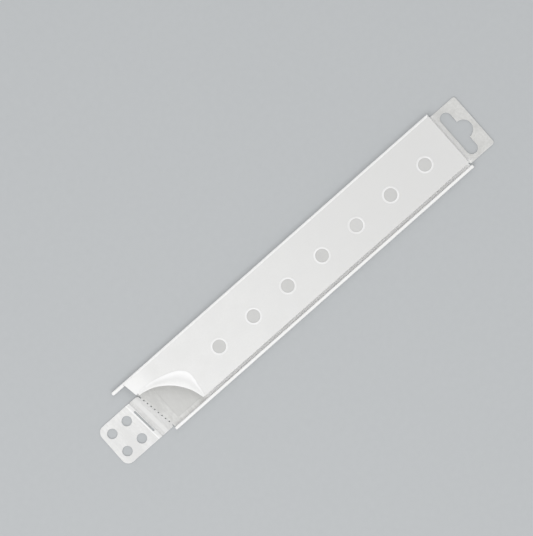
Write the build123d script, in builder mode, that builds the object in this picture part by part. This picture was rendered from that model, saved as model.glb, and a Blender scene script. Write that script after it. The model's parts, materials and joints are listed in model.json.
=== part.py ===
from build123d import *
import math
import os

# Knife blade guard: a shallow moulded back panel, a front leaf that folds on a groove over the spine
# rail, pairs of disc magnets that shut it on the blade, a hang tab and a tear-off tab.
# X runs from the tear-off tab to the hang tab, Y from the open side to the spine, Z up from the table
# that the back panel lies on. The origin is at the middle of the footprint.

# Lengths along the guard
tear_tab_length = 35.85      # end of the tear-off tab to the perforation, on the middle line
body_length = 250.25         # perforation to the closed end of the body
hang_tab_length = 20.4       # closed end to the end of the hang tab

# Across the guard
total_width = 44.4           # outside of the spine rail to outside of the edge rail
spine_width = 2.3
edge_width = 2.1
leaf_setback = 4.25          # outside of the edge rail to the free edge of the leaf
hinge_inset = 1.25           # outside of the spine rail to the hinge groove

# Walls and heights
floor_wall = 1.0
leaf_wall = 1.0
tab_wall = 1.0
magnet_thickness = 1.0
magnet_diameter = 9.0
magnet_gap = 0.6             # between the magnets of a shut, empty guard
seat_clearance = 0.05        # between faces that lie on each other
fold_gap = 0.1               # between the two sides of a fold
run_clearance = 0.3          # round what swings or flexes

# Magnet collars and the windows over them
magnet_count = 7
magnet_row_offset = -0.6     # row of magnets from the middle line
last_magnet_inset = 21.7     # last magnet to the closed end
magnet_play = 0.05           # round a magnet in its collar
magnet_chamfer = 0.12
collar_wall = 0.85
window_depth = 0.2           # how far the leaf dips over a magnet
window_rim_rise = 0.2        # how far the ring round a window stands up
window_step = 0.15           # window edge inside the magnet's edge

# Raised border of the floor, round the bed that the blade lies in
border_rise = 0.15
border_mouth_inset = 8.35    # perforation to the bed, on the middle line
border_side_width = 3.2      # along each rail and along the closed end
bed_corner = 1.5

# Felt liners
liner_lip_gap = 2.87         # lip of the thumb notch to the start of the liners
liner_first_magnet = 21.95   # start of the liners to the first magnet
liner_bed_gap = 1.25         # liners to the border of the bed
liner_collar_gap = 0.2       # round each collar
liner_corner = 1.0

# Mouth end and its perforation
mouth_slant = 9.3            # degrees from square
leaf_mouth_overlap = 0.3     # leaf past the perforation
prong_length = 10.0          # spine rail past the floor's mouth end
pinhole_diameter = 0.95
pinhole_count = 8
pinhole_top_inset = 4.925    # spine side of the tear-off tab to the first pinhole
pinhole_low_inset = 4.025    # open side of the tear-off tab to the last pinhole
cut_length = 2.2             # long cut beyond the first pinhole
cut_offset = 3.3             # middle of that cut from the first pinhole
edge_rail_lead = 0.8         # edge rail past the floor's mouth end

# Tear-off tab
tear_tab_width = 29.25
tear_tab_offset = -4.5       # middle of the tab from the middle line
tab_end_radius = 5.0
tab_root_radius = 2.5        # corner on the spine side
tab_heel_radius = 1.5        # corner on the open side
crease_inset = 8.0           # perforation to the crease, on the middle line
crease_slant = 4.6           # degrees from square
tie_hole_diameter = 6.5
tie_hole_side_inset = 7.45   # middle of a hole to the side of the tab
tie_hole_middle_share = 0.448    # end of the tab to the middle of the four holes, of the plate's length
tie_hole_pitch_share = 0.433     # between the two pairs of holes, of the plate's length
slot_side_inset = 5.925      # end of the slot to the side of the tab
slot_width = 1.25
slot_crease_gap = 1.45       # slot to the crease, middle to middle

# Hang tab with its hook slot
hang_spine_gap = 0.4         # spine rail to the tab, across the guard
hang_edge_gap = 0.9          # edge rail to the tab, across the guard
hang_tab_radius = 1.8
hang_heel_radius = 1.5
closed_notch = 0.55          # floor and hang tab joint inside the closed end
hook_slot_width = 7.6
hook_slot_inset = 3.5        # closed end to the slot
hook_top_wall = 3.5          # slot to the spine side of the tab
hook_low_wall = 3.2          # slot to the open side of the tab
hook_end_wall = 3.2          # round head to the end of the tab
hook_head_radius = 6.1

# Rails
edge_rail_overrun = 0.65     # edge rail past the closed end
closed_corner_radius = 2.2   # corner of the body on the spine side
prong_round_share = 0.48     # round of the prong's end, of the rail's width
leaf_corner_radius = 0.8
edge_rail_radius = 0.8       # corners of the edge rail in plan
rail_round = 0.8             # long top edges of the rails
foot_round = 0.4             # long bottom edges of the rails
crease_chamfer = 0.25
rim_round = 0.25             # outer edges of the leaf and the tabs

# Thumb notch: the mouth corner of the leaf is cut out along an arc, and the leaf rises to the arc
# in a hooded lip, under which a thumb lifts it.
notch_radius = 27.4
notch_drop = 1.35            # centre of that arc below the leaf's free edge
lip_depth = 9.8              # arc to the flat of the leaf, where the lip is widest
lip_rise = 4.0               # height of the lip over the leaf there
lip_wall = 0.8
lip_foot = 0.6               # flat under the lip, where it meets the leaf
lip_bend_share = 0.5         # how far the section stays level at each end, of its depth
# Stations round the arc: angle, notch radius and lip depth as shares of the values above.
lip_angles = [91, 83, 75, 66, 58, 50, 42, 34, 27, 20, 13, 7, 3.2]
notch_shares = [1.05, 1.04, 1.029, 1.018, 1.006, 1.0, 1.0, 1.002, 1.008, 1.016, 1.024, 1.033, 1.05]
depth_shares = [0.16, 0.24, 0.33, 0.46, 0.6, 0.77, 0.95, 1.0, 0.87, 0.59, 0.38, 0.24, 0.14]

# Places that follow from the sizes
total_length = tear_tab_length + body_length + hang_tab_length
tab_end_x = -total_length / 2
mouth_x = tab_end_x + tear_tab_length
closed_x = mouth_x + body_length
hang_end_x = closed_x + hang_tab_length
spine_y = total_width / 2
edge_y = -total_width / 2
spine_inner_y = spine_y - spine_width
edge_inner_y = edge_y + edge_width
hinge_y = spine_y - hinge_inset
leaf_free_y = edge_y + leaf_setback
floor_end_x = closed_x - closed_notch
tab_top_y = tear_tab_offset + tear_tab_width / 2
tab_low_y = tear_tab_offset - tear_tab_width / 2
plate_length = tear_tab_length - crease_inset
tie_hole_x = tab_end_x + plate_length * tie_hole_middle_share
tie_hole_spacing_x = plate_length * tie_hole_pitch_share
tie_hole_spacing_y = tear_tab_width - 2 * tie_hole_side_inset
slot_length = tear_tab_width - 2 * slot_side_inset
pinhole_start = tab_top_y - pinhole_top_inset
pinhole_pitch = (tear_tab_width - pinhole_top_inset - pinhole_low_inset) / (pinhole_count - 1)

hang_top_y = spine_inner_y - hang_spine_gap
hang_low_y = edge_inner_y + hang_edge_gap
hang_neck_y = hang_low_y + hang_heel_radius + fold_gap
hook_top_y = hang_top_y - hook_top_wall
hook_low_y = hang_low_y + hook_low_wall
hook_slot_length = hook_top_y - hook_low_y
hook_slot_x = closed_x + hook_slot_inset + hook_slot_width / 2
hook_slot_y = (hook_top_y + hook_low_y) / 2
hook_head_x = hang_end_x - hook_end_wall - hook_head_radius

collar_height = magnet_thickness + 2 * seat_clearance
collar_inner = magnet_diameter / 2 + magnet_play
collar_outer = collar_inner + collar_wall
window_radius = magnet_diameter / 2 - window_step
closed_height = floor_wall + 2 * collar_height + magnet_gap + leaf_wall
leaf_z = closed_height - leaf_wall
step_z = leaf_z - seat_clearance
liner_wall = collar_height

mouth_lean = math.tan(math.radians(mouth_slant))
crease_lean = math.tan(math.radians(crease_slant))


def mouth_at(y, shift=0):
    """Place on the slanted mouth end at a distance from the middle line."""
    return (mouth_x + shift - y * mouth_lean, y)


def crease_at(y, shift=0):
    """Place on the crease of the tear-off tab."""
    return (mouth_x - crease_inset + shift - y * crease_lean, y)


prong_x = mouth_at(spine_inner_y)[0] - prong_length
leaf_start_x = mouth_at(hinge_y, -leaf_mouth_overlap)[0]
edge_rail_x = mouth_at(edge_inner_y)[0] - edge_rail_lead
edge_rail_end_x = closed_x + edge_rail_overrun

# Stations of the lip: the middle of its arc, then how far it reaches at each.
notch_x = mouth_x
notch_y = leaf_free_y - notch_drop


class Station:
    """One cut across the lip, square to the arc of the notch."""

    def __init__(self, angle, notch_share, depth_share):
        self.turn = math.radians(angle)
        self.notch = notch_radius * notch_share
        self.depth = lip_depth * depth_share
        self.rise = lip_rise * depth_share

    def at(self, radius):
        """Place in plan at a distance from the middle of the arc."""
        return (notch_x + radius * math.cos(self.turn), notch_y + radius * math.sin(self.turn))

    def plane(self):
        """Upright plane of the cut, with its origin on the arc, level with the leaf's underside."""
        outward = (math.cos(self.turn), math.sin(self.turn), 0)
        along = (math.sin(self.turn), -math.cos(self.turn), 0)
        return Plane(origin=(*self.at(self.notch), leaf_z), x_dir=outward, z_dir=along)


stations = [Station(*row) for row in zip(lip_angles, notch_shares, depth_shares)]
lip_reach_x = max(s.at(s.notch + s.depth)[0] for s in stations)

bed_x = mouth_x + border_mouth_inset
bed_end_x = floor_end_x - border_side_width
bed_top_y = spine_inner_y - border_side_width
bed_low_y = edge_inner_y + border_side_width
bed_middle_y = (bed_top_y + bed_low_y) / 2

liner_x = lip_reach_x + liner_lip_gap
liner_end_x = bed_end_x - liner_bed_gap
liner_length = liner_end_x - liner_x
liner_width = bed_top_y - bed_low_y - 2 * liner_bed_gap
liner_middle = ((liner_x + liner_end_x) / 2, bed_middle_y)

first_magnet_x = liner_x + liner_first_magnet
last_magnet_x = closed_x - last_magnet_inset
magnet_pitch = (last_magnet_x - first_magnet_x) / (magnet_count - 1)
magnet_places = [(first_magnet_x + i * magnet_pitch, magnet_row_offset) for i in range(magnet_count)]

os.makedirs("parts", exist_ok=True)


def cut_perforation():
    """Row of pinholes along the mouth end, with a long cut beyond the first."""
    for i in range(pinhole_count):
        with Locations(mouth_at(pinhole_start - i * pinhole_pitch)):
            Circle(pinhole_diameter / 2, mode=Mode.SUBTRACT)
    with Locations(mouth_at(pinhole_start + cut_offset)):
        SlotOverall(cut_length, pinhole_diameter, rotation=90 + mouth_slant, mode=Mode.SUBTRACT)


def draw_collars():
    """Ring round each magnet."""
    with Locations(*magnet_places):
        Circle(collar_outer)
        Circle(collar_inner, mode=Mode.SUBTRACT)


def finish(part, name):
    """Name a finished piece and write it."""
    part.label = name
    export_step(part, f"parts/{name}.step")


# Back panel: the floor between the two rails, with a bed for the blade and a collar for each magnet
with BuildPart() as back_panel:
    with BuildSketch():
        with BuildLine():
            Polyline(
                mouth_at(spine_inner_y, fold_gap / 2),
                (floor_end_x, spine_inner_y),
                (floor_end_x, edge_inner_y),
                mouth_at(edge_inner_y, fold_gap / 2),
                close=True,
            )
        make_face()
        cut_perforation()
    extrude(amount=floor_wall + border_rise)
    with BuildSketch(Plane.XY.offset(floor_wall)):
        with Locations(((bed_x + bed_end_x) / 2, bed_middle_y)):
            Rectangle(bed_end_x - bed_x, bed_top_y - bed_low_y)
        fillet(vertices(), bed_corner)
    extrude(amount=border_rise, mode=Mode.SUBTRACT)
    with BuildSketch(Plane.XY.offset(floor_wall)):
        draw_collars()
    extrude(amount=collar_height)
finish(back_panel.part, "back_panel")


# Hang tab: carries the floor on past the closed end, with the hook slot and its round head
with BuildPart() as hang_tab:
    with BuildSketch():
        with BuildLine():
            Polyline(
                (floor_end_x, hang_top_y),
                (hang_end_x, hang_top_y),
                (hang_end_x, hang_low_y),
                (closed_x, hang_low_y),
                (closed_x, hang_neck_y),
                (floor_end_x, hang_neck_y),
                close=True,
            )
        make_face()
        outer = vertices().filter_by_position(Axis.X, hang_end_x - fold_gap, hang_end_x + fold_gap)
        fillet(outer, hang_tab_radius)
        heel = vertices().filter_by_position(Axis.X, closed_x - fold_gap, closed_x + fold_gap)
        fillet(heel.sort_by(Axis.Y)[0], hang_heel_radius)
        with Locations((hook_slot_x, hook_slot_y)):
            SlotOverall(hook_slot_length, hook_slot_width, rotation=90, mode=Mode.SUBTRACT)
        with Locations((hook_head_x, hook_slot_y)):
            Circle(hook_head_radius, mode=Mode.SUBTRACT)
    extrude(amount=tab_wall)
    rims = edges().group_by(Axis.Z)[-1].filter_by_position(Axis.X, closed_x, hang_end_x)
    fillet(rims, rim_round)
finish(hang_tab.part, "hang_tab")


# Spine rail: a bar with a round-ended prong, stepped where the leaf lies on it
with BuildPart() as spine_rail:
    with BuildSketch():
        with BuildLine():
            Polyline(
                (prong_x, spine_inner_y),
                (closed_x, spine_inner_y),
                (closed_x, spine_y),
                (prong_x, spine_y),
                close=True,
            )
        make_face()
        corners = vertices().sort_by(Axis.X)
        fillet(corners[:2], spine_width * prong_round_share)
        fillet(corners[2:].sort_by(Axis.Y)[-1], min(closed_corner_radius, spine_width - fold_gap))
    extrude(amount=closed_height)
    fillet(edges().group_by(Axis.Z)[-1], rail_round)
    foot = edges().group_by(Axis.Z)[0].filter_by_position(Axis.Y, spine_inner_y + fold_gap, spine_y)
    fillet(foot, foot_round)
    with BuildSketch(Plane.XY.offset(step_z)):
        with Locations((leaf_start_x - run_clearance, hinge_y + fold_gap / 2)):
            Rectangle(total_length, spine_width, align=(Align.MIN, Align.MAX))
    extrude(amount=closed_height, mode=Mode.SUBTRACT)
finish(spine_rail.part, "spine_rail")


# Edge rail: the bar along the open side
with BuildPart() as edge_rail:
    with BuildSketch():
        with Locations(((edge_rail_x + edge_rail_end_x) / 2, (edge_y + edge_inner_y) / 2)):
            Rectangle(edge_rail_end_x - edge_rail_x, edge_width)
        fillet(vertices(), edge_rail_radius)
    extrude(amount=closed_height)
    fillet(edges().group_by(Axis.Z)[-1], rail_round)
    foot = edges().group_by(Axis.Z)[0].filter_by_position(Axis.Y, edge_y, edge_inner_y - fold_gap)
    fillet(foot, foot_round)
finish(edge_rail.part, "edge_rail")


def lip_slope(start, end):
    """Curve of the hood in its section, level at both ends."""
    bend = (end[0] - start[0]) * lip_bend_share
    return Bezier(start, (start[0] + bend, start[1]), (end[0] - bend, end[1]), end)


# Thumb lip: the hood round the notch, open towards the mouth corner, which runs out level in the leaf
with BuildPart() as thumb_lip:
    for station in stations:
        with BuildSketch(station.plane()):
            with BuildLine():
                top = lip_slope((0, leaf_wall + station.rise), (station.depth, leaf_wall))
                under = lip_slope((0, leaf_wall + station.rise - lip_wall), (station.depth - lip_foot, 0))
                Line(top @ 0, under @ 0)
                Polyline(under @ 1, (station.depth, 0), top @ 1)
            make_face()
    loft()
finish(thumb_lip.part, "thumb_lip")


# Front leaf: a flat cover cut back to the edge of the lip, with collars under its windows
seam = thumb_lip.edges().group_by(Axis.Z)[0].sort_by(SortBy.LENGTH)[-1]
seam_ends = seam.vertices().sort_by(Axis.X)
with BuildPart() as front_panel:
    with BuildSketch(Plane.XY.offset(leaf_z)):
        with BuildLine():
            add(seam.moved(Location((0, 0, -leaf_z))))
            Polyline(
                (seam_ends[-1].X, seam_ends[-1].Y),
                (seam_ends[-1].X, leaf_free_y),
                (closed_x, leaf_free_y),
                (closed_x, hinge_y - fold_gap / 2),
                mouth_at(hinge_y - fold_gap / 2, -leaf_mouth_overlap),
                mouth_at(seam_ends[0].Y, -leaf_mouth_overlap),
                (seam_ends[0].X, seam_ends[0].Y),
            )
        make_face()
        closed_corners = vertices().filter_by_position(Axis.X, closed_x - fold_gap, closed_x + fold_gap)
        fillet(closed_corners, leaf_corner_radius)
    extrude(amount=leaf_wall)
    top = edges().group_by(Axis.Z)[-1]
    mouth_rim = top.filter_by(GeomType.LINE).sort_by(Axis.X)[0]
    rims = top.filter_by_position(Axis.X, mouth_x + notch_radius, closed_x)
    rims = rims.filter_by_position(Axis.Y, leaf_free_y - fold_gap, hinge_y - run_clearance)
    fillet([mouth_rim, *rims.filter_by(lambda rim: rim.length > leaf_corner_radius)], rim_round)
    with BuildSketch(Plane.XY.offset(leaf_z - collar_height)):
        draw_collars()
    extrude(amount=collar_height)
    with BuildSketch(Plane.XY.offset(closed_height)):
        with Locations(*magnet_places):
            Circle(collar_outer)
            Circle(window_radius, mode=Mode.SUBTRACT)
    extrude(amount=window_rim_rise)
    with BuildSketch(Plane.XY.offset(closed_height - window_depth)):
        with Locations(*magnet_places):
            Circle(window_radius)
    extrude(amount=closed_height, mode=Mode.SUBTRACT)
finish(front_panel.part, "front_panel")


def liner(z):
    """Felt sheet with a hole round each collar, from a height up."""
    with BuildPart() as sheet:
        with BuildSketch(Plane.XY.offset(z)):
            with Locations(liner_middle):
                Rectangle(liner_length, liner_width)
            fillet(vertices(), liner_corner)
            with Locations(*magnet_places):
                Circle(collar_outer + liner_collar_gap, mode=Mode.SUBTRACT)
        extrude(amount=liner_wall)
    return sheet.part


finish(liner(floor_wall), "back_liner")
finish(liner(leaf_z - liner_wall), "front_liner")


def magnet(place, z):
    """Disc magnet with its lower face at a height."""
    with BuildPart() as disc:
        with BuildSketch(Plane.XY.offset(z)):
            with Locations(place):
                Circle(magnet_diameter / 2)
        extrude(amount=magnet_thickness)
        chamfer(edges(), magnet_chamfer)
    return disc.part


for i, place in enumerate(magnet_places, start=1):
    finish(magnet(place, floor_wall + seat_clearance), f"back_magnet_{i}")
    finish(magnet(place, leaf_z - seat_clearance - magnet_thickness), f"front_magnet_{i}")


# Tear-off tab, inner strip: between the perforation and the crease
with BuildPart() as tab_root:
    with BuildSketch():
        with BuildLine():
            Polyline(
                crease_at(tab_top_y, fold_gap / 2),
                mouth_at(tab_top_y, -fold_gap / 2),
                mouth_at(tab_low_y, -fold_gap / 2),
                crease_at(tab_low_y, fold_gap / 2),
                close=True,
            )
        make_face()
        fillet(vertices().sort_by(Axis.Y)[2:].sort_by(Axis.X)[-1], tab_root_radius)
        fillet(vertices().sort_by(Axis.X)[-1], tab_heel_radius)
        cut_perforation()
    extrude(amount=tab_wall)
    creases = edges().group_by(Axis.Z)[-1].filter_by(GeomType.LINE).sort_by(Axis.X)
    chamfer(creases[0], crease_chamfer)
    sides = edges().group_by(Axis.Z)[-1].filter_by(Axis.X)
    fillet(sides, rim_round)
finish(tab_root.part, "tab_root")


# Tear-off tab, outer plate: four tie holes and a thin slot beside the crease
with BuildPart() as tab_plate:
    with BuildSketch():
        with BuildLine():
            Polyline(
                crease_at(tab_top_y, -fold_gap / 2),
                crease_at(tab_low_y, -fold_gap / 2),
                (tab_end_x, tab_low_y),
                (tab_end_x, tab_top_y),
                close=True,
            )
        make_face()
        fillet(vertices().sort_by(Axis.X)[:2], tab_end_radius)
        with Locations((tie_hole_x, tear_tab_offset)):
            with GridLocations(tie_hole_spacing_x, tie_hole_spacing_y, 2, 2):
                Circle(tie_hole_diameter / 2, mode=Mode.SUBTRACT)
        with Locations(crease_at(tear_tab_offset, -slot_crease_gap)):
            SlotOverall(slot_length, slot_width, rotation=90 + crease_slant, mode=Mode.SUBTRACT)
    extrude(amount=tab_wall)
    creases = edges().group_by(Axis.Z)[-1].filter_by(GeomType.LINE).sort_by(Axis.X)
    chamfer(creases[-1], crease_chamfer)
    fillet(edges().group_by(Axis.Z)[-1].sort_by(Axis.X)[:-1], rim_round)
finish(tab_plate.part, "tab_plate")
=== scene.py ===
import json
import math

import bmesh
import bpy
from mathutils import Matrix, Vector, noise


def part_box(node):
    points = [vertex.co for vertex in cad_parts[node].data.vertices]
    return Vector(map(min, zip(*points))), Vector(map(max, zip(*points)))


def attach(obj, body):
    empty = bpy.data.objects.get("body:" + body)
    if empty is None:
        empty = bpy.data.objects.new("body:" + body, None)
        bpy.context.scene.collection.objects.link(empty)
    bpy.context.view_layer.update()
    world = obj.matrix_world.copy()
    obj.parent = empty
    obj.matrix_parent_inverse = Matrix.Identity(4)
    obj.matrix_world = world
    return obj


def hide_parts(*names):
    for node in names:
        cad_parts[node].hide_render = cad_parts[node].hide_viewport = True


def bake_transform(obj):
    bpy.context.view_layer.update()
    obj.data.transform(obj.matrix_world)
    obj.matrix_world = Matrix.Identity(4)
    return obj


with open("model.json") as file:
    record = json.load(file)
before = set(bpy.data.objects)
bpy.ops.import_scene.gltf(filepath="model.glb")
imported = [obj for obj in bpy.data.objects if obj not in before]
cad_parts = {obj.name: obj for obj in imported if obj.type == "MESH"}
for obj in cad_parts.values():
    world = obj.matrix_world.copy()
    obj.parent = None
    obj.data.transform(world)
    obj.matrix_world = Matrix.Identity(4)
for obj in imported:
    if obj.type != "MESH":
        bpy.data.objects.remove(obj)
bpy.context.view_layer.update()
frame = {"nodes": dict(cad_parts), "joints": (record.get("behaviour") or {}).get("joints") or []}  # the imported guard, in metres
nodes = frame["nodes"]
joints = {joint["name"]: joint for joint in frame["joints"]}
print("frame loaded,", len(nodes), "CAD pieces")


def mm(size):
    return size / 1000


def linearColour(hexColour):
    # sRGB hex to the linear colour that a shader socket takes
    parts = [int(hexColour[i:i + 2], 16) / 255 for i in (1, 3, 5)]
    return tuple(c / 12.92 if c <= 0.04045 else ((c + 0.055) / 1.055) ** 2.4 for c in parts) + (1.0,)


def addNode(tree, kind, inputs=None, **settings):
    # one shader node with its settings; an input is a value or another node's output
    node = tree.nodes.new(kind)
    for key, value in settings.items():
        setattr(node, key, value)
    for key, value in (inputs or {}).items():
        if isinstance(value, bpy.types.NodeSocket):
            tree.links.new(value, node.inputs[key])
        else:
            node.inputs[key].default_value = value
    return node


# Camera: straight above the guard, turned as the photograph is
photoView = {
    "turn": 41.465,              # degrees from the guard's length to the level
    "overPoint": (-5.8, 16.55),  # mm, place of the guard under the middle of the picture
    "coversHeight": 335.0,       # mm, at the height of the leaf
    "lens": 400.0,               # long, so that the view is as flat as the photograph
    "sensor": 36.0,
}


def setCamera():
    data = bpy.data.cameras.new("photoCamera")
    data.lens = photoView["lens"]
    data.sensor_width = photoView["sensor"]
    camera = bpy.data.objects.new("photoCamera", data)
    bpy.context.scene.collection.objects.link(camera)
    leafTop = joints["leaf_fold"]["pos_m"][2]
    height = leafTop + mm(photoView["coversHeight"]) * photoView["lens"] / photoView["sensor"]
    camera.location = (mm(photoView["overPoint"][0]), mm(photoView["overPoint"][1]), height)
    camera.rotation_euler = (0, 0, -math.radians(photoView["turn"]))
    bpy.context.scene.camera = camera


# Studio: a pale floor, an even world and two large soft lamps
studio = {
    "floorColour": "#C1C4C6",
    "floorShade": "#BDC0C2",
    "rollerGrain": 4.0,          # mm across the roller's stipple
    "floorSize": 6.0,            # m
    "floorDrop": 0.05,           # mm under the guard, so that the two faces don't fight
    "floorRough": 0.85,
    "floorGloss": 0.2,
    "worldColour": "#FFFFFF",
    "worldStrength": 0.72,
    "keyPlace": (-0.55, -0.35, 1.15),
    "keySize": 1.1,
    "keyPower": 5.0,
    "fillPlace": (0.7, 0.5, 1.3),
    "fillSize": 1.2,
    "fillPower": 1.8,
}


def addLamp(name, place, size, power):
    data = bpy.data.lights.new(name, "AREA")
    data.shape = "DISK"
    data.size = size
    data.energy = power
    lamp = bpy.data.objects.new(name, data)
    lamp.location = place
    lamp.rotation_euler = (-Vector(place)).to_track_quat("-Z", "Y").to_euler()
    bpy.context.scene.collection.objects.link(lamp)


def rolledPaint():
    # emulsion paint, rolled on board: matt, with the roller's faint stipple
    mat = bpy.data.materials.new("emulsionPaintRolled")
    mat.use_nodes = True
    tree = mat.node_tree
    shader = tree.nodes["Principled BSDF"]
    place = addNode(tree, "ShaderNodeTexCoord").outputs["Object"]
    stipple = addNode(tree, "ShaderNodeTexNoise", {
        "Vector": place, "Scale": 1000 / studio["rollerGrain"], "Detail": 3.0,
    })
    colour = addNode(tree, "ShaderNodeMix", {
        0: stipple.outputs[0],
        6: linearColour(studio["floorShade"]),
        7: linearColour(studio["floorColour"]),
    }, data_type="RGBA")
    tree.links.new(colour.outputs[2], shader.inputs["Base Color"])
    shader.inputs["Roughness"].default_value = studio["floorRough"]
    shader.inputs["Specular IOR Level"].default_value = studio["floorGloss"]
    return mat


def setStudio():
    board = bmesh.new()
    bmesh.ops.create_grid(board, x_segments=1, y_segments=1, size=studio["floorSize"] / 2)
    bmesh.ops.translate(board, verts=board.verts, vec=(0, 0, -mm(studio["floorDrop"])))
    data = bpy.data.meshes.new("floor")
    board.to_mesh(data)
    board.free()
    data.materials.append(rolledPaint())
    floor = bpy.data.objects.new("floor", data)
    bpy.context.scene.collection.objects.link(floor)
    world = bpy.data.worlds.new("studio")
    world.use_nodes = True
    background = world.node_tree.nodes["Background"]
    background.inputs["Color"].default_value = linearColour(studio["worldColour"])
    background.inputs["Strength"].default_value = studio["worldStrength"]
    bpy.context.scene.world = world
    addLamp("keyLamp", studio["keyPlace"], studio["keySize"], studio["keyPower"])
    addLamp("fillLamp", studio["fillPlace"], studio["fillSize"], studio["fillPower"])
    bpy.context.scene.view_settings.view_transform = "Standard"


setCamera()
setStudio()
print("camera and studio set")

# Places that the folds and the CAD pieces give, in metres
mouthX = joints["perforation_fold"]["pos_m"][0]
leafLow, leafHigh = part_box("front_panel")
floorLow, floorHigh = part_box("back_panel")
rootLow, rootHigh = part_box("tab_root")
closedX = floorHigh.x
upward = Vector((0, 0, 1))

# The plastic of the whole moulding
plastic = {
    "ior": 1.49,
    "milky": 0.25,                # share of the light that wanders in the wall
    "depth": 1.2,                 # mm that it travels there
    "depthShares": (1.0, 1.0, 0.95),    # of that depth, for red, green and blue
    "texture": 0.012,             # mm from the peaks of the mould's texture to its hollows
    "textureStrength": 0.6,
    "cloud": 9.0,                 # mm across a cloud from the melt's flow
    "speckle": 2.2,               # width of a speckle, in widths of the texture's grain
    "blotches": (0.15, 0.38),     # where the clouds and speckles turn from shade to colour
    "roughWander": (-0.06, 0.08),
    "edgeRound": 0.12,            # mm that a moulded edge is broken by, in the shading only
    # painted highlight: a lighter colour laid along every edge, for light that comes out of the wall there
    "edgeColour": "#FFFFFF",
    "edgeWidth": 0.55,            # mm over which an edge is painted lighter
    "edgeShare": 0.75,
    "edgeTurns": (0.995, 0.88),   # cosine of the face's turn where that light starts and is full
}


def mouldedPolypropylene(name, look, tints=(), thin=False):
    # frosted polypropylene, injection moulded in a spark-eroded tool: milky, satin, finely grained;
    # a thin web neither holds light nor has an edge to break
    mat = bpy.data.materials.new(name)
    mat.use_nodes = True
    tree = mat.node_tree
    shader = tree.nodes["Principled BSDF"]
    place = addNode(tree, "ShaderNodeTexCoord").outputs["Object"]
    drawn = addNode(tree, "ShaderNodeMapping", {"Vector": place, "Scale": (1.0, look["streak"], 1.0)})
    flow = addNode(tree, "ShaderNodeTexNoise", {
        "Vector": drawn.outputs[0], "Scale": 1000 / plastic["cloud"], "Detail": 2.0,
    })
    speckle = addNode(tree, "ShaderNodeTexNoise", {
        "Vector": drawn.outputs[0], "Scale": 1000 / (look["grain"] * plastic["speckle"]),
        "Detail": 3.0, "Roughness": 0.6,
    })
    blotch = addNode(tree, "ShaderNodeMath", {
        0: flow.outputs[0], 1: speckle.outputs[0],
    }, operation="MULTIPLY")
    shadeAt, colourAt = plastic["blotches"]
    tone = addNode(tree, "ShaderNodeMapRange", {
        "Value": blotch.outputs[0], "From Min": shadeAt, "From Max": colourAt,
    })
    colour = addNode(tree, "ShaderNodeMix", {
        0: tone.outputs[0],
        6: linearColour(look["shade"]),
        7: linearColour(look["colour"]),
    }, data_type="RGBA").outputs[2]
    for lay in tints:
        colour = lay(tree, place, colour)
    tree.links.new(colour, shader.inputs["Base Color"])
    smoother, rougher = (look["rough"] + wander for wander in plastic["roughWander"])
    gloss = addNode(tree, "ShaderNodeMapRange", {
        "Value": speckle.outputs[0], "To Min": smoother, "To Max": rougher,
    })
    tree.links.new(gloss.outputs[0], shader.inputs["Roughness"])
    grain = addNode(tree, "ShaderNodeTexNoise", {
        "Vector": place, "Scale": 1000 / look["grain"], "Detail": 2.0, "Roughness": 0.55,
    })
    texture = addNode(tree, "ShaderNodeBump", {
        "Strength": plastic["textureStrength"], "Distance": mm(plastic["texture"]),
        "Height": grain.outputs[0],
    })
    if not thin:
        broken = addNode(tree, "ShaderNodeBevel", {"Radius": mm(plastic["edgeRound"])}, samples=6)
        tree.links.new(broken.outputs[0], texture.inputs["Normal"])
        shader.inputs["Subsurface Weight"].default_value = look.get("milky", plastic["milky"])
    tree.links.new(texture.outputs[0], shader.inputs["Normal"])
    shader.inputs["IOR"].default_value = plastic["ior"]
    shader.inputs["Subsurface Radius"].default_value = plastic["depthShares"]
    shader.inputs["Subsurface Scale"].default_value = mm(plastic["depth"])
    return mat


def tint(mask, hexColour, share=1.0):
    # lays a colour over the one below it, as far as a mask says
    def lay(tree, place, colour):
        amount = addNode(tree, "ShaderNodeMath", {0: mask(tree, place), 1: share}, operation="MULTIPLY")
        return addNode(tree, "ShaderNodeMix", {
            0: amount.outputs[0], 6: colour, 7: linearColour(hexColour),
        }, data_type="RGBA").outputs[2]

    return lay


def alongMask(axis, low, high):
    # fades in from one place to another along X, Y or Z, in metres
    def mask(tree, place):
        part = addNode(tree, "ShaderNodeSeparateXYZ", {0: place}).outputs[axis]
        return addNode(tree, "ShaderNodeMapRange", {
            "Value": part, "From Min": low, "From Max": high,
        }, interpolation_type="SMOOTHSTEP").outputs[0]

    return mask


def bothMasks(one, other):
    # where two masks meet
    def mask(tree, place):
        return addNode(tree, "ShaderNodeMath", {
            0: one(tree, place), 1: other(tree, place),
        }, operation="MULTIPLY").outputs[0]

    return mask


def edgeMask(width):
    # 1 at a piece's edges, where a highlight is painted for light that wandered through the wall and comes
    # out there, 0 past a width in mm
    def mask(tree, place):
        rounded = addNode(tree, "ShaderNodeBevel", {"Radius": mm(width)}, samples=8)
        face = addNode(tree, "ShaderNodeNewGeometry").outputs["Normal"]
        level = addNode(tree, "ShaderNodeVectorMath", {
            0: rounded.outputs[0], 1: face,
        }, operation="DOT_PRODUCT")
        startsAt, fullAt = plastic["edgeTurns"]
        return addNode(tree, "ShaderNodeMapRange", {
            "Value": level.outputs["Value"], "From Min": startsAt, "From Max": fullAt,
        }, interpolation_type="SMOOTHSTEP").outputs[0]

    return mask


def foldSides(jointName):
    # a point of a fold, the direction along it, and the level one across it, to the side that moves
    along = Vector(joints[jointName]["axis"])
    return Vector(joints[jointName]["pos_m"]), along, upward.cross(along)


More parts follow.
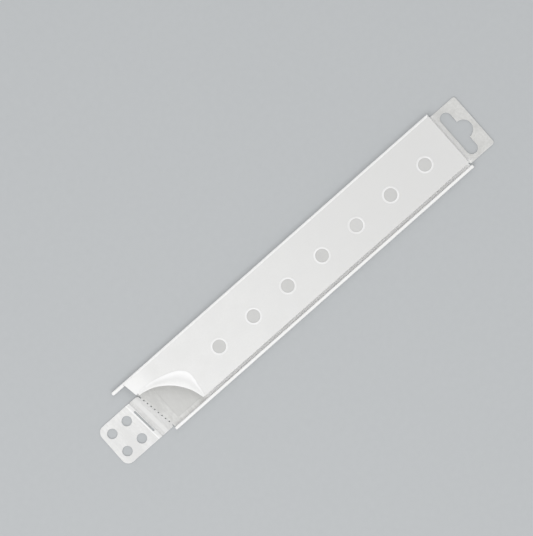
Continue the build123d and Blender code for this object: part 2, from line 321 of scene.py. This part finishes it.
def stripeMask(jointName, stripe):
    # a stripe beside a fold, from and to, in mm to the side that moves, and how softly it ends
    origin, along, across = foldSides(jointName)

    def mask(tree, place):
        shift = addNode(tree, "ShaderNodeVectorMath", {0: place, 1: origin}, operation="SUBTRACT")
        far = addNode(tree, "ShaderNodeVectorMath", {
            0: shift.outputs[0], 1: across,
        }, operation="DOT_PRODUCT").outputs["Value"]
        rise = addNode(tree, "ShaderNodeMapRange", {
            "Value": far, "From Min": mm(stripe["from"] - stripe["soft"]), "From Max": mm(stripe["from"]),
        }, interpolation_type="SMOOTHSTEP")
        fall = addNode(tree, "ShaderNodeMapRange", {
            "Value": far, "From Min": mm(stripe["to"] + stripe["soft"]), "From Max": mm(stripe["to"]),
        }, interpolation_type="SMOOTHSTEP")
        return addNode(tree, "ShaderNodeMath", {
            0: rise.outputs[0], 1: fall.outputs[0],
        }, operation="MULTIPLY").outputs[0]

    return mask


def aroundMask(middle, low, high):
    # fades in from one distance to another round an upright line, in mm
    def mask(tree, place):
        shift = addNode(tree, "ShaderNodeVectorMath", {0: place, 1: middle}, operation="SUBTRACT")
        level = addNode(tree, "ShaderNodeVectorMath", {
            0: shift.outputs[0], 1: (1.0, 1.0, 0.0),
        }, operation="MULTIPLY")
        reach = addNode(tree, "ShaderNodeVectorMath", {0: level.outputs[0]}, operation="LENGTH")
        return addNode(tree, "ShaderNodeMapRange", {
            "Value": reach.outputs["Value"], "From Min": mm(low), "From Max": mm(high),
        }, interpolation_type="SMOOTHSTEP").outputs[0]

    return mask


# painted highlight along the edges of a piece
paintedEdgeGlow = tint(edgeMask(plastic["edgeWidth"]), plastic["edgeColour"], plastic["edgeShare"])


def dress(nodeName, mat):
    data = nodes[nodeName].data
    data.materials.clear()
    data.materials.append(mat)


# Windows of the front leaf, pressed thin over each magnet: the disc shows grey, and a highlight is painted on
# its rim
windows = {
    "count": 7,
    "radius": 4.35,          # mm
    "discSoft": (0.1, -0.2),    # mm past that radius, where the disc's grey fades out
    "ringWidth": 1.05,
    "ringFull": 0.45,        # share of its width where the ring is at its brightest
    "discColour": "#D4D4D2",
    "discShade": "#CDCDCC",
    "ringColour": "#FFFFFF",
    "ringCloud": 7.0,        # mm over which the ring's painted highlight grows brighter and duller
    "cloudLevels": (0.3, 0.7),
    "ringShares": (0.35, 1.0),    # of the painted highlight's colour, where it is dullest and brightest
    "blurredOne": 5,         # from the mouth: pressed less deeply than the rest
    "blurredShare": 0.85,
}


def windowMarks(tree, place, colour):
    first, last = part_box("front_magnet_1"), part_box(f"front_magnet_{windows['count']}")
    firstMiddle, lastMiddle = (first[0] + first[1]) / 2, (last[0] + last[1]) / 2
    pitch = (lastMiddle.x - firstMiddle.x) / (windows["count"] - 1)
    radius = mm(windows["radius"])
    shift = addNode(tree, "ShaderNodeVectorMath", {0: place, 1: firstMiddle}, operation="SUBTRACT")
    parts = addNode(tree, "ShaderNodeSeparateXYZ", {0: shift.outputs[0]})
    near = addNode(tree, "ShaderNodeMath", {
        0: parts.outputs[0], 1: pitch / 2, 2: -pitch / 2,
    }, operation="WRAP")
    flat = addNode(tree, "ShaderNodeCombineXYZ", {0: near.outputs[0], 1: parts.outputs[1]})
    reach = addNode(tree, "ShaderNodeVectorMath", {0: flat.outputs[0]}, operation="LENGTH").outputs["Value"]
    cloud = addNode(tree, "ShaderNodeTexNoise", {
        "Vector": place, "Scale": 1000 / windows["ringCloud"], "Detail": 1.0,
    })
    row = addNode(tree, "ShaderNodeMath", {0: parts.outputs[0], 1: -pitch / 2}, operation="GREATER_THAN")
    blurred = addNode(tree, "ShaderNodeMath", {
        0: parts.outputs[0], 1: pitch * (windows["blurredOne"] - 1), 2: pitch / 2,
    }, operation="COMPARE")
    depth = addNode(tree, "ShaderNodeMapRange", {
        "Value": blurred.outputs[0], "To Min": 1.0, "To Max": windows["blurredShare"],
    })
    pressed = addNode(tree, "ShaderNodeMath", {0: row.outputs[0], 1: depth.outputs[0]}, operation="MULTIPLY")
    discOut, discIn = (radius + mm(soft) for soft in windows["discSoft"])
    disc = addNode(tree, "ShaderNodeMapRange", {
        "Value": reach, "From Min": discOut, "From Max": discIn,
    }, interpolation_type="SMOOTHSTEP")
    ringWidth = mm(windows["ringWidth"])
    ring = addNode(tree, "ShaderNodeMapRange", {
        "Value": reach,
        "From Min": radius + ringWidth,
        "From Max": radius + ringWidth * windows["ringFull"],
    }, interpolation_type="SMOOTHSTEP")
    cloudLow, cloudHigh = windows["cloudLevels"]
    dullest, brightest = windows["ringShares"]
    bright = addNode(tree, "ShaderNodeMapRange", {
        "Value": cloud.outputs[0], "From Min": cloudLow, "From Max": cloudHigh,
        "To Min": dullest, "To Max": brightest,
    })
    ringLight = addNode(tree, "ShaderNodeMath", {
        0: ring.outputs[0], 1: bright.outputs[0],
    }, operation="MULTIPLY")
    ringHere = addNode(tree, "ShaderNodeMath", {
        0: ringLight.outputs[0], 1: pressed.outputs[0],
    }, operation="MULTIPLY")
    discHere = addNode(tree, "ShaderNodeMath", {
        0: disc.outputs[0], 1: pressed.outputs[0],
    }, operation="MULTIPLY")
    # the painted highlight on each window's rim
    ringed = addNode(tree, "ShaderNodeMix", {
        0: ringHere.outputs[0], 6: colour, 7: linearColour(windows["ringColour"]),
    }, data_type="RGBA")
    grey = addNode(tree, "ShaderNodeMix", {
        0: cloud.outputs[0], 6: linearColour(windows["discColour"]), 7: linearColour(windows["discShade"]),
    }, data_type="RGBA")
    return addNode(tree, "ShaderNodeMix", {
        0: discHere.outputs[0], 6: ringed.outputs[2], 7: grey.outputs[2],
    }, data_type="RGBA").outputs[2]


# Front leaf: painted lightest at the mouth and painted a shade darker towards the closed end, for how the
# light falls along it
leafLook = {
    "colour": "#EDEDEC",
    "shade": "#E9E9E8",
    "grain": 0.45,           # mm, width of the mould's texture
    "rough": 0.46,
    "streak": 1.0,           # under 1 draws the clouds out across the guard
    "closedColour": "#E0E0DF",
    "mouthColour": "#F7F7F6",
    "mouthReach": 16.0,      # mm over which the painted light at the mouth fades
}
dress("front_panel", mouldedPolypropylene("polypropyleneMouldedLeaf", leafLook, [
    # painted shade towards the closed end, and painted light at the mouth
    tint(alongMask(0, mouthX, closedX), leafLook["closedColour"]),
    tint(alongMask(0, mouthX + mm(leafLook["mouthReach"]), mouthX), leafLook["mouthColour"]),
    paintedEdgeGlow,
    windowMarks,
]))

# Thumb lip: painted light where it runs out in the leaf, and a painted highlight in a thin line along the
# notch
lipLook = {
    "colour": "#FBFBFA",
    "shade": "#F6F6F5",
    "milky": 0.05,                # thinner than the plate, so light wanders less in it
    "grain": 0.5,
    "rough": 0.4,
    "streak": 1.0,
    "lightColour": "#FFFFFF",
    "centreDrop": 1.35,           # mm, middle of the notch's arc outside the leaf's free edge
    "rootReach": (29.5, 34.0),    # mm from that middle, where the painted light of the root fades in
    "rimReach": (28.4, 27.7),     # mm, the painted highlight along the notch
}
notchMiddle = (mouthX, leafLow.y - mm(lipLook["centreDrop"]), 0.0)
dress("thumb_lip", mouldedPolypropylene("polypropyleneMouldedLip", lipLook, [
    # painted light at the lip's root and a painted highlight along the notch
    tint(aroundMask(notchMiddle, *lipLook["rootReach"]), lipLook["lightColour"]),
    tint(aroundMask(notchMiddle, *lipLook["rimReach"]), lipLook["lightColour"]),
]))

# Rails: thick and solid, so the whitest of the moulding, and painted whiter still for the light that catches
# their edges
railLook = {"colour": "#FAFAF9", "shade": "#F4F4F3", "grain": 0.6, "rough": 0.36, "streak": 0.25}
railPlastic = mouldedPolypropylene("polypropyleneMouldedRail", railLook, [paintedEdgeGlow])
dress("spine_rail", railPlastic)
dress("edge_rail", railPlastic)

# Back panel: greyer in the bed than on its border, with painted light along the edge rail under the leaf,
# lifting the shade in that gap
floorLook = {
    "colour": "#E1E1DF",
    "shade": "#CDCDCB",
    "grain": 0.7,
    "rough": 0.5,
    "streak": 0.4,
    "bedColour": "#CECECC",
    "bedShare": 0.8,
    "bedStep": (1.14, 1.02),      # mm over the table, border and bed
    "railColour": "#FBFBFA",
    "railReach": (3.4, 2.4),      # mm from the edge rail
    "leafReach": (27.0, 33.0),    # mm from the mouth, where the leaf covers it
}
dress("back_panel", mouldedPolypropylene("polypropyleneMouldedFloor", floorLook, [
    tint(
        alongMask(2, *(mm(step) for step in floorLook["bedStep"])),
        floorLook["bedColour"], floorLook["bedShare"],
    ),
    # painted light in the gap between the leaf's free edge and the edge rail
    tint(bothMasks(
        alongMask(1, *(floorLow.y + mm(reach) for reach in floorLook["railReach"])),
        alongMask(0, *(mouthX + mm(reach) for reach in floorLook["leafReach"])),
    ), floorLook["railColour"]),
]))

# Hang tab: mottled, with painted light next to the closed end, lifting the shade that the closed end casts on
# it
hangLook = {
    "colour": "#DDDDDB",
    "shade": "#D0D0CE",
    "grain": 0.6,
    "rough": 0.5,
    "streak": 1.0,
    "neckColour": "#FAFAF9",
    "neckReach": (4.5, 0.8),      # mm from the closed end
}
dress("hang_tab", mouldedPolypropylene("polypropyleneMouldedHangTab", hangLook, [
    # painted light next to the closed end
    tint(alongMask(0, *(closedX + mm(reach) for reach in hangLook["neckReach"])), hangLook["neckColour"]),
    paintedEdgeGlow,
]))

# Tear-off tab: streaked across, with a light line at the slot and a painted shadow in the crease
plateLook = {
    "colour": "#EFEFEE",
    "shade": "#E3E3E2",
    "grain": 0.5,
    "rough": 0.44,
    "streak": 0.35,
    "slotColour": "#FBFBFA",
    "slotStripe": {"from": 2.55, "to": 3.0, "soft": 0.35},    # mm from the crease
    "creaseColour": "#C6C6C4",
    "creaseStripe": {"from": -0.2, "to": 0.3, "soft": 0.25},
}
rootLook = {
    "colour": "#E1E1E0",
    "shade": "#D4D4D3",
    "grain": 0.5,
    "rough": 0.44,
    "streak": 0.35,
    "middleColour": "#E6E6E5",
    "middleStripe": {"from": -4.6, "to": -2.8, "soft": 0.8},
}
# painted shadow along the crease
creaseShadow = tint(stripeMask("crease_fold", plateLook["creaseStripe"]), plateLook["creaseColour"])
dress("tab_plate", mouldedPolypropylene("polypropyleneMouldedTabPlate", plateLook, [
    paintedEdgeGlow,
    tint(stripeMask("crease_fold", plateLook["slotStripe"]), plateLook["slotColour"]),
    creaseShadow,
]))
dress("tab_root", mouldedPolypropylene("polypropyleneMouldedTabRoot", rootLook, [
    tint(stripeMask("crease_fold", rootLook["middleStripe"]), rootLook["middleColour"]),
    paintedEdgeGlow,
    creaseShadow,
]))

# Magnets: fourteen discs, one over the other at each window
magnetLook = {
    "colour": "#B5B3AE",
    "shade": "#9E9C98",
    "rough": 0.3,
    "cloud": 2.5,            # mm across a duller patch
    "scuff": 0.35,           # mm across a scuff
    "scuffLevels": (0.3, 0.7),
    "scuffDepth": 0.01,      # mm
    "scuffStrength": 0.3,
    "roughWander": (-0.08, 0.12),
}


def tumbledNickel():
    # nickel plate on sintered discs, tumbled: a soft grey shine with fine scuffs
    mat = bpy.data.materials.new("nickelPlateTumbled")
    mat.use_nodes = True
    tree = mat.node_tree
    shader = tree.nodes["Principled BSDF"]
    place = addNode(tree, "ShaderNodeTexCoord").outputs["Object"]
    cloud = addNode(tree, "ShaderNodeTexNoise", {
        "Vector": place, "Scale": 1000 / magnetLook["cloud"], "Detail": 4.0,
    })
    scuffs = addNode(tree, "ShaderNodeTexNoise", {
        "Vector": place, "Scale": 1000 / magnetLook["scuff"], "Detail": 3.0, "Distortion": 1.5,
    })
    colour = addNode(tree, "ShaderNodeMix", {
        0: cloud.outputs[0], 6: linearColour(magnetLook["shade"]), 7: linearColour(magnetLook["colour"]),
    }, data_type="RGBA")
    tree.links.new(colour.outputs[2], shader.inputs["Base Color"])
    scuffLow, scuffHigh = magnetLook["scuffLevels"]
    smoother, rougher = (magnetLook["rough"] + wander for wander in magnetLook["roughWander"])
    gloss = addNode(tree, "ShaderNodeMapRange", {
        "Value": scuffs.outputs[0], "From Min": scuffLow, "From Max": scuffHigh,
        "To Min": smoother, "To Max": rougher,
    })
    tree.links.new(gloss.outputs[0], shader.inputs["Roughness"])
    dents = addNode(tree, "ShaderNodeBump", {
        "Strength": magnetLook["scuffStrength"], "Distance": mm(magnetLook["scuffDepth"]),
        "Height": scuffs.outputs[0],
    })
    tree.links.new(dents.outputs[0], shader.inputs["Normal"])
    shader.inputs["Metallic"].default_value = 1.0
    return mat


plating = tumbledNickel()
for i in range(1, windows["count"] + 1):
    dress(f"back_magnet_{i}", plating)
    dress(f"front_magnet_{i}", plating)
print("CAD pieces dressed")

# Felt liners: sheets laid in the bed of the floor and under the leaf, punched round the magnets
feltLook = {
    "colour": "#CBCBC8",
    "shade": "#A9A9A6",
    "tuft": 0.35,                # mm across a tuft of fibres
    "tuftLevels": (0.3, 0.62),   # where the tufts turn from shade to colour
    "cloud": 6.0,                # mm across a denser patch
    "cloudLevels": (0.3, 0.7),
    "density": (0.85, 1.15),     # of the tufts' tone, in thin and in dense patches
    "nap": 0.12,                 # mm that the tufts stand up, in the shading only
    "napStrength": 0.8,
    "rough": 0.95,
    "sheen": 0.35,
    "sheenRough": 0.6,
    "weld": 0.002,               # mm within which the CAD sheet's points are one
    "cell": 0.6,                 # mm between the points of the sheet
    "fuzz": 0.16,                # mm that its surface and edges wander inwards
    "wander": 1.1,               # mm over which they do
    "flat": (0.2102, 0.0311),    # m
    "hole": 5.6,                 # mm, radius of the hole round a magnet
}


def needledFelt():
    # polyester felt, needle punched: matted fibres that lie every way, darker between the tufts
    mat = bpy.data.materials.new("polyesterFeltNeedled")
    mat.use_nodes = True
    tree = mat.node_tree
    shader = tree.nodes["Principled BSDF"]
    place = addNode(tree, "ShaderNodeTexCoord").outputs["Object"]
    tufts = addNode(tree, "ShaderNodeTexNoise", {
        "Vector": place, "Scale": 1000 / feltLook["tuft"], "Detail": 4.0, "Roughness": 0.7, "Distortion": 2.0,
    })
    clouds = addNode(tree, "ShaderNodeTexNoise", {
        "Vector": place, "Scale": 1000 / feltLook["cloud"], "Detail": 2.0,
    })
    cloudLow, cloudHigh = feltLook["cloudLevels"]
    thin, dense = feltLook["density"]
    density = addNode(tree, "ShaderNodeMapRange", {
        "Value": clouds.outputs[0], "From Min": cloudLow, "From Max": cloudHigh,
        "To Min": thin, "To Max": dense,
    })
    mixed = addNode(tree, "ShaderNodeMath", {
        0: tufts.outputs[0], 1: density.outputs[0],
    }, operation="MULTIPLY")
    shadeAt, colourAt = feltLook["tuftLevels"]
    tone = addNode(tree, "ShaderNodeMapRange", {
        "Value": mixed.outputs[0], "From Min": shadeAt, "From Max": colourAt,
    })
    colour = addNode(tree, "ShaderNodeMix", {
        0: tone.outputs[0], 6: linearColour(feltLook["shade"]), 7: linearColour(feltLook["colour"]),
    }, data_type="RGBA")
    tree.links.new(colour.outputs[2], shader.inputs["Base Color"])
    nap = addNode(tree, "ShaderNodeBump", {
        "Strength": feltLook["napStrength"], "Distance": mm(feltLook["nap"]),
        "Height": tufts.outputs[0],
    })
    tree.links.new(nap.outputs[0], shader.inputs["Normal"])
    shader.inputs["Roughness"].default_value = feltLook["rough"]
    shader.inputs["Sheen Weight"].default_value = feltLook["sheen"]
    shader.inputs["Sheen Roughness"].default_value = feltLook["sheenRough"]
    return mat


def feltLiner(name, nodeName, body, mat):
    sheet = bmesh.new()
    sheet.from_mesh(nodes[nodeName].data)
    bmesh.ops.remove_doubles(sheet, verts=sheet.verts, dist=mm(feltLook["weld"]))
    cut = bpy.data.meshes.new(name + "Cut")
    sheet.to_mesh(cut)
    sheet.free()
    maker = bpy.data.objects.new(name + "Maker", cut)
    bpy.context.scene.collection.objects.link(maker)
    evenCells = maker.modifiers.new("evenCells", "REMESH")
    evenCells.mode = "VOXEL"
    evenCells.voxel_size = mm(feltLook["cell"])
    depsgraph = bpy.context.evaluated_depsgraph_get()
    data = bpy.data.meshes.new_from_object(maker.evaluated_get(depsgraph))
    bpy.data.objects.remove(maker)
    bpy.data.meshes.remove(cut)
    data.name = name
    inward = [-v.normal * mm(feltLook["fuzz"]) for v in data.vertices]
    for v, shift in zip(data.vertices, inward):
        v.co += shift * (0.5 + 0.5 * noise.noise(v.co / mm(feltLook["wander"])))
    data.materials.clear()
    data.materials.append(mat)
    data.shade_smooth()
    piece = bpy.data.objects.new(name, data)
    bpy.context.scene.collection.objects.link(piece)
    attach(piece, body)
    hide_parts(nodeName)


felt = needledFelt()
feltLiner("backFelt", "back_liner", "back", felt)
feltLiner("frontFelt", "front_liner", "leaf", felt)
print("felt liners laid")

# Webs: the thin skin that the moulding keeps at each fold, over the gap between the CAD pieces
web = {
    "clear": 0.005,     # mm above the faces that it joins
    "skin": 0.02,       # mm thick
    "bend": 0.05,       # mm each side of the fold where it bends
}


def foldWeb(name, jointName, section, spans, mat):
    # section goes from the side that stays to the side that moves, in mm; spans are in m along the fold
    origin, along, across = foldSides(jointName)
    skin = bmesh.new()
    for low, high in spans:
        base = origin + along * low + upward * mm(web["clear"])
        verts = [skin.verts.new(base + across * mm(far) + upward * mm(rise)) for far, rise in section]
        edges = [skin.edges.new(pair) for pair in zip(verts, verts[1:])]
        drawn = bmesh.ops.extrude_edge_only(skin, edges=edges)["geom"]
        moved = [part for part in drawn if isinstance(part, bmesh.types.BMVert)]
        bmesh.ops.translate(skin, verts=moved, vec=along * (high - low))
    skin.normal_update()
    if sum(face.normal.z for face in skin.faces) > 0:
        bmesh.ops.reverse_faces(skin, faces=skin.faces[:])  # solidify then grows the skin upwards
    bmesh.ops.solidify(skin, geom=skin.faces[:], thickness=mm(web["skin"]))
    data = bpy.data.meshes.new(name)
    skin.to_mesh(data)
    skin.free()
    data.materials.append(mat)
    piece = bpy.data.objects.new(name, data)
    bpy.context.scene.collection.objects.link(piece)
    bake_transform(piece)


# Spine groove: it ends short of the leaf's mouth edge and of its rounded closed corner
spineWeb = {
    "section": [(-0.3, 0.0), (-0.1, 0.0), (0.0, 0.0), (0.1, 0.0), (0.3, 0.0)],
    "mouthInset": 0.3,    # mm
    "closedInset": 0.9,
}
foldWeb(
    "spineWeb", "leaf_fold", spineWeb["section"],
    [(-leafHigh.x + mm(spineWeb["closedInset"]), -leafLow.x - mm(spineWeb["mouthInset"]))],
    mouldedPolypropylene("polypropyleneMouldedSpineWeb", railLook, thin=True),
)

# Perforation: what is left of the wall between the pinholes and the long cut, in mm across the guard
perforation = {
    "section": [(-0.35, 0.15), (-0.06, 0.15), (0.0, 0.12), (0.12, 0.0), (0.4, 0.0)],
    "heelInset": 1.7,
    "firstHole": 5.2,
    "pitch": 2.9,
    "count": 8,
    "radius": 0.475,
    "cutLow": 7.4,
}


def bridgeSpans():
    slope = joints["perforation_fold"]["axis"][1]
    spans = []
    start = rootLow.y * 1000 + perforation["heelInset"]
    for i in reversed(range(perforation["count"])):
        middle = perforation["firstHole"] - i * perforation["pitch"]
        spans.append((mm(start) / slope, mm(middle - perforation["radius"]) / slope))
        start = middle + perforation["radius"]
    spans.append((mm(start) / slope, mm(perforation["cutLow"]) / slope))
    return spans


tabWebPlastic = mouldedPolypropylene("polypropyleneMouldedTabWeb", rootLook, thin=True)
foldWeb(
    "perforationBridges", "perforation_fold", perforation["section"], bridgeSpans(),
    tabWebPlastic,
)

# Crease: a V groove across the tear-off tab
crease = {
    "section": [
        (-0.42, 0.0), (-0.3, 0.0), (-0.05, -0.25), (0.0, -0.26), (0.05, -0.25), (0.3, 0.0), (0.42, 0.0),
    ],
    "endInset": 0.3,      # mm from the sides of the tab
}
creaseSlope = joints["crease_fold"]["axis"][1]
creaseSpan = (
    (rootLow.y + mm(crease["endInset"])) / creaseSlope,
    (rootHigh.y - mm(crease["endInset"])) / creaseSlope,
)
foldWeb("creaseWeb", "crease_fold", crease["section"], [creaseSpan], tabWebPlastic)
print("fold webs laid")
